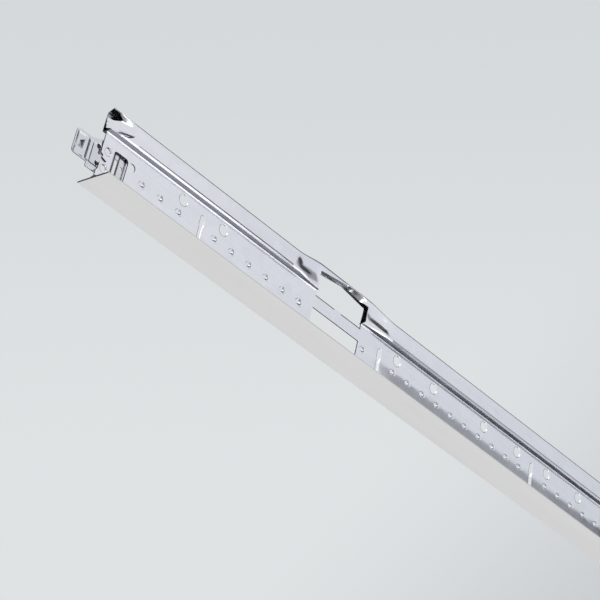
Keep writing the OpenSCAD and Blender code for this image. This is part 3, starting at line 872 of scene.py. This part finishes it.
def zinc(name, dark, light, rough, spangle):
    """Galvanised strip: faint spangle, rolling streaks along the tee, and uneven gloss."""
    mat, nodes, links = node_tree(name)
    bsdf = nodes["Principled BSDF"]
    bsdf.inputs["Metallic"].default_value = 1.0
    cells = nodes.new("ShaderNodeTexVoronoi")
    cells.inputs["Scale"].default_value = 1.0
    cells.inputs["Randomness"].default_value = 1.0
    links.new(stretched(nodes, links, (spangle, spangle, spangle)), cells.inputs["Vector"])
    grey = nodes.new("ShaderNodeSeparateColor")
    links.new(cells.outputs["Color"], grey.inputs["Color"])
    streak = noise(nodes, links, (6, 900, 900), 4.0)
    cloud = noise(nodes, links, (45, 60, 60), 3.0)
    tone = ranged(nodes, links, grey.outputs["Red"], 0.0, 0.34, 0.0, 1.0)
    for marks in (streak, cloud):
        tone = total(nodes, links, tone, ranged(nodes, links, marks, 0.0, 0.33))
    links.new(shade(nodes, links, tone, dark, light), bsdf.inputs["Base Color"])
    gloss = ranged(nodes, links, grey.outputs["Green"], *rough, 0.0, 1.0)
    gloss = total(nodes, links, gloss, ranged(nodes, links, cloud, -0.01, 0.02))
    links.new(gloss, bsdf.inputs["Roughness"])
    fine = noise(nodes, links, (300, 1500, 1500), 2.0)
    links.new(bumped(nodes, links, total(nodes, links, streak, fine), 0.08, 0.00004), bsdf.inputs["Normal"])
    return mat


def paint(name, dark, light):
    """Baked white enamel: faint orange peel, faint roll marks, a little dust, and painted shade along the turn of
    each hem.
    """
    mat, nodes, links = node_tree(name)
    bsdf = nodes["Principled BSDF"]
    peel = noise(nodes, links, (1400, 1400, 1400), 2.0)
    cloud = noise(nodes, links, (9, 70, 70), 4.0)
    # Painted shade: the coat greys along the turn of each hem, in patches that follow the cloud
    place = nodes.new("ShaderNodeSeparateXYZ")
    links.new(stretched(nodes, links, (1, 1, 1)), place.inputs["Vector"])
    out = nodes.new("ShaderNodeMath")
    out.operation = "ABSOLUTE"
    links.new(place.outputs["Y"], out.inputs[0])
    hem = ranged(nodes, links, out.outputs["Value"], 0.0, 1.0, 0.01155, 0.0119)
    painted_hem_shade = total(nodes, links, hem, ranged(nodes, links, cloud, 0.5, 1.0), "MULTIPLY")
    coat = shade(nodes, links, ranged(nodes, links, cloud, 0.0, 1.0), dark, light)
    # The grey that the coat takes along the hem's turn is painted shade
    links.new(shade(nodes, links, painted_hem_shade, coat, (0.46, 0.47, 0.48)), bsdf.inputs["Base Color"])
    links.new(ranged(nodes, links, peel, 0.36, 0.46), bsdf.inputs["Roughness"])
    bsdf.inputs["Specular IOR Level"].default_value = 0.4
    links.new(bumped(nodes, links, peel, 0.12, 0.00005), bsdf.inputs["Normal"])
    return mat


def edge_steel_and_shade(name):
    """Sheared edges: bare steel with fine tear marks across the sheet; its near-black colour is partly painted
    shade, and the same material paints the shade in the staking pits.
    """
    mat, nodes, links = node_tree(name)
    bsdf = nodes["Principled BSDF"]
    bsdf.inputs["Metallic"].default_value = 1.0
    tear = noise(nodes, links, (2500, 300, 2500), 2.0)
    # The near-black of the edges, far darker than bare steel, is partly painted shade
    bare_and_shade = shade(nodes, links, ranged(nodes, links, tear, 0.0, 1.0), (0.03, 0.031, 0.036), (0.11, 0.113, 0.125))
    links.new(bare_and_shade, bsdf.inputs["Base Color"])
    links.new(ranged(nodes, links, tear, 0.4, 0.6), bsdf.inputs["Roughness"])
    links.new(bumped(nodes, links, tear, 0.3, 0.00005), bsdf.inputs["Normal"])
    return mat


def dress(ob, mats, node):
    """Give a piece its materials, and put it in the place of a CAD node."""
    if not ob.data.materials:
        for mat in mats:
            ob.data.materials.append(mat)
    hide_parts(node)
    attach(ob, "root")


steel = zinc("galvanised_strip", (0.84, 0.85, 0.89), (0.95, 0.955, 0.99), (0.13, 0.17), 170)
clip_steel = zinc("stamped_clip_steel", (0.7, 0.71, 0.75), (0.84, 0.845, 0.88), (0.14, 0.22), 260)
sheared_steel_and_shade = edge_steel_and_shade("sheared_steel_and_shade")
white = paint("white_enamel", (0.755, 0.757, 0.755), (0.785, 0.787, 0.785))

dress(tee_body(), (steel, sheared_steel_and_shade), "tee_body")
dress(face_cap(), (white, sheared_steel_and_shade), "face_cap")
for clip, node in zip(clips(), ("splice_clip_left", "splice_clip_right")):
    dress(clip, (clip_steel, sheared_steel_and_shade), node)


# Stage: floor, world, lights and camera

# The camera fitted to the photo: its axes, its place from the left end of the tee, and its lens
RIGHT = (0.641853, -0.738723, 0.205702)
DOWN = (0.481819, 0.179828, -0.85762)
FORWARD = (0.596552, 0.649578, 0.471353)
CAMERA_X, CAMERA_Y, CAMERA_Z = -529.085, -749.223, -526.885
LENS, SENSOR = 124.2056, 36.0
# The photo's middle lies half a pixel off the fit's
PHOTO_PIXELS = 600
SHIFT = 0.5 / PHOTO_PIXELS

# From here on, sizes are in metres
FLOOR_HALF, FLOOR_GAP = 30.0, 0.0004
PALE, DUSK = (0.76, 0.775, 0.8), (0.66, 0.685, 0.73)
NEAR_END = Vector((0.2 - HALF * MM, 0, 0.02))
# Tint of a card's darker and its lighter clouds
CARD_DARK, CARD_LIGHT = (0.9, 0.93, 1.01), (1.05, 1.08, 1.17)
# Cards that are seen in the metal: name, azimuth, elevation, spread each way in degrees, grey, distance
CARDS = (("card_above", 12, 43, 76, 38, 0.06, 8.0), ("card_web", -33, 37.5, 17, 13, 0.37, 7.0),
         ("card_top", -35, 64, 50, 28, 0.06, 8.0), ("card_beside", -8, 10, 36, 30, 0.06, 8.0),
         ("card_below", -20.5, -35, 31.5, 32, 0.05, 7.5), ("card_low", -52.5, -47, 37, 30, 0.34, 8.0),
         ("card_edge", -52, -23, 32, 13, 0.2, 8.0), ("card_behind", 47, -30, 50, 36, 0.06, 8.0))
# Soft lamps: name, azimuth, elevation, spread each way in degrees, brightness of the face, distance
LAMPS = (("key", -83, -26, 28, 11, 1.8, 4.0), ("low", -52, -6, 44, 7, 1.3, 4.0),
         ("under", 6, -60, 44, 8, 1.9, 4.0), ("side", -61, -15, 14, 13, 1.15, 4.0),
         ("back", 150, 50, 60, 40, 1.1, 4.0))
CORNERS = ((-1, -1), (1, -1), (1, 1), (-1, 1))


def quad(name, points):
    """A single four-sided face as an object."""
    me = bpy.data.meshes.new(name)
    me.from_pydata(points, [], [[0, 1, 2, 3]])
    ob = bpy.data.objects.new(name, me)
    bpy.context.collection.objects.link(ob)
    return ob


def floor():
    """A plain pale floor just under the tee."""
    ob = quad("floor", [(i * FLOOR_HALF, j * FLOOR_HALF, -FLOOR_GAP) for i, j in CORNERS])
    mat, nodes, links = node_tree("pale_floor")
    bsdf = nodes["Principled BSDF"]
    pale = shade(nodes, links, noise(nodes, links, (2, 2, 2), 2.0), (0.72, 0.735, 0.735), (0.75, 0.765, 0.765))
    links.new(pale, bsdf.inputs["Base Color"])
    bsdf.inputs["Roughness"].default_value = 0.9
    bsdf.inputs["Specular IOR Level"].default_value = 0.1
    # The photo looks up from below the floor, so its underside is see-through
    clear = nodes.new("ShaderNodeBsdfTransparent")
    side = nodes.new("ShaderNodeNewGeometry")
    mix = nodes.new("ShaderNodeMixShader")
    links.new(side.outputs["Backfacing"], mix.inputs["Fac"])
    links.new(bsdf.outputs["BSDF"], mix.inputs[1])
    links.new(clear.outputs["BSDF"], mix.inputs[2])
    links.new(mix.outputs["Shader"], nodes["Material Output"].inputs["Surface"])
    ob.data.materials.append(mat)
    ob.visible_shadow = ob.visible_diffuse = ob.visible_glossy = False


def towards(azimuth, elevation):
    """Unit vector of a direction: azimuth from +X towards +Y, elevation up."""
    a, e = math.radians(azimuth), math.radians(elevation)
    return Vector((math.cos(e) * math.cos(a), math.cos(e) * math.sin(a), math.sin(e)))


def card(name, azimuth, elevation, wide, tall, grey, away):
    """A grey studio card that is only seen in the metal, placed from the near end."""
    way = towards(azimuth, elevation)
    side = Vector((0, 0, 1)).cross(way).normalized()
    up = way.cross(side)
    w, h = away * math.tan(math.radians(wide / 2)), away * math.tan(math.radians(tall / 2))
    mid = NEAR_END + way * away
    ob = quad(name, [mid + side * i * w + up * j * h for i, j in CORNERS])
    mat, nodes, links = node_tree(name)
    bsdf = nodes["Principled BSDF"]
    dark, light = (tuple(grey * c for c in tint) for tint in (CARD_DARK, CARD_LIGHT))
    links.new(shade(nodes, links, noise(nodes, links, (3, 3, 3), 1.0), dark, light), bsdf.inputs["Base Color"])
    bsdf.inputs["Roughness"].default_value = 0.9
    bsdf.inputs["Specular IOR Level"].default_value = 0.0
    ob.data.materials.append(mat)
    ob.visible_camera = ob.visible_diffuse = ob.visible_shadow = False


def world():
    """Even neutral light; the camera and the metal see a pale backdrop that fades a little."""
    w = bpy.data.worlds.new("studio")
    bpy.context.scene.world = w
    w.use_nodes = True
    nodes, links = w.node_tree.nodes, w.node_tree.links
    light = nodes["Background"]
    light.inputs["Color"].default_value = (1, 1, 1, 1)
    light.inputs["Strength"].default_value = 0.8
    seen = nodes.new("ShaderNodeBackground")
    seen.inputs["Strength"].default_value = 1.0
    co = nodes.new("ShaderNodeTexCoord")

    def along(axis, lo, hi):
        dot = nodes.new("ShaderNodeVectorMath")
        dot.operation = "DOT_PRODUCT"
        dot.inputs[1].default_value = axis
        links.new(co.outputs["Generated"], dot.inputs[0])
        fade = nodes.new("ShaderNodeMapRange")
        fade.interpolation_type = "SMOOTHSTEP"
        fade.inputs["From Min"].default_value = lo
        fade.inputs["From Max"].default_value = hi
        links.new(dot.outputs["Value"], fade.inputs["Value"])
        return fade.outputs["Result"]

    upper = shade(nodes, links, along(DOWN, -0.16, 0.1), (0.66, 0.69, 0.705), (0.735, 0.765, 0.775))
    corner = [(r + d) / math.sqrt(2) for r, d in zip(RIGHT, DOWN)]
    whole = shade(nodes, links, along(corner, 0.07, 0.26), (1.0, 1.0, 1.0), (0.75, 0.75, 0.77))
    backdrop = shade(nodes, links, 1.0, upper, whole, "MULTIPLY")
    path = nodes.new("ShaderNodeLightPath")
    mirrored = shade(nodes, links, along((1, 0, 0), 0.45, 0.85), PALE, DUSK)
    links.new(shade(nodes, links, path.outputs["Is Camera Ray"], mirrored, backdrop), seen.inputs["Color"])
    direct = total(nodes, links, path.outputs["Is Camera Ray"], path.outputs["Is Glossy Ray"])
    direct = total(nodes, links, direct, path.outputs["Is Transmission Ray"])
    mix = nodes.new("ShaderNodeMixShader")
    links.new(direct, mix.inputs["Fac"])
    links.new(light.outputs["Background"], mix.inputs[1])
    links.new(seen.outputs["Background"], mix.inputs[2])
    links.new(mix.outputs["Shader"], nodes["World Output"].inputs["Surface"])


def softbox(name, azimuth, elevation, wide, tall, level, away):
    """A soft lamp that faces the near end, with the brightness of its face."""
    way = towards(azimuth, elevation)
    data = bpy.data.lights.new(name, "AREA")
    data.shape = "RECTANGLE"
    data.size = 2 * away * math.tan(math.radians(wide / 2))
    data.size_y = 2 * away * math.tan(math.radians(tall / 2))
    data.energy = level * math.pi * data.size * data.size_y
    ob = bpy.data.objects.new(name, data)
    bpy.context.collection.objects.link(ob)
    ob.location = NEAR_END + way * away
    ob.rotation_euler = (-way).to_track_quat("-Z", "Y").to_euler()
    ob.visible_camera = False


def camera():
    """The photo's camera."""
    data = bpy.data.cameras.new("camera")
    data.lens, data.sensor_width = LENS, SENSOR
    data.shift_x, data.shift_y = -SHIFT, SHIFT
    data.clip_start, data.clip_end = 0.01, 200.0
    ob = bpy.data.objects.new("camera", data)
    bpy.context.collection.objects.link(ob)
    place = Vector((CAMERA_X - HALF, CAMERA_Y, CAMERA_Z)) * MM
    turn = Matrix((RIGHT, [-v for v in DOWN], [-v for v in FORWARD])).transposed()
    ob.matrix_world = Matrix.Translation(place) @ turn.to_4x4()
    bpy.context.scene.camera = ob


floor()
world()
for place in CARDS:
    card(*place)
for place in LAMPS:
    softbox(*place)
camera()
bpy.context.scene.view_settings.view_transform = "Standard"
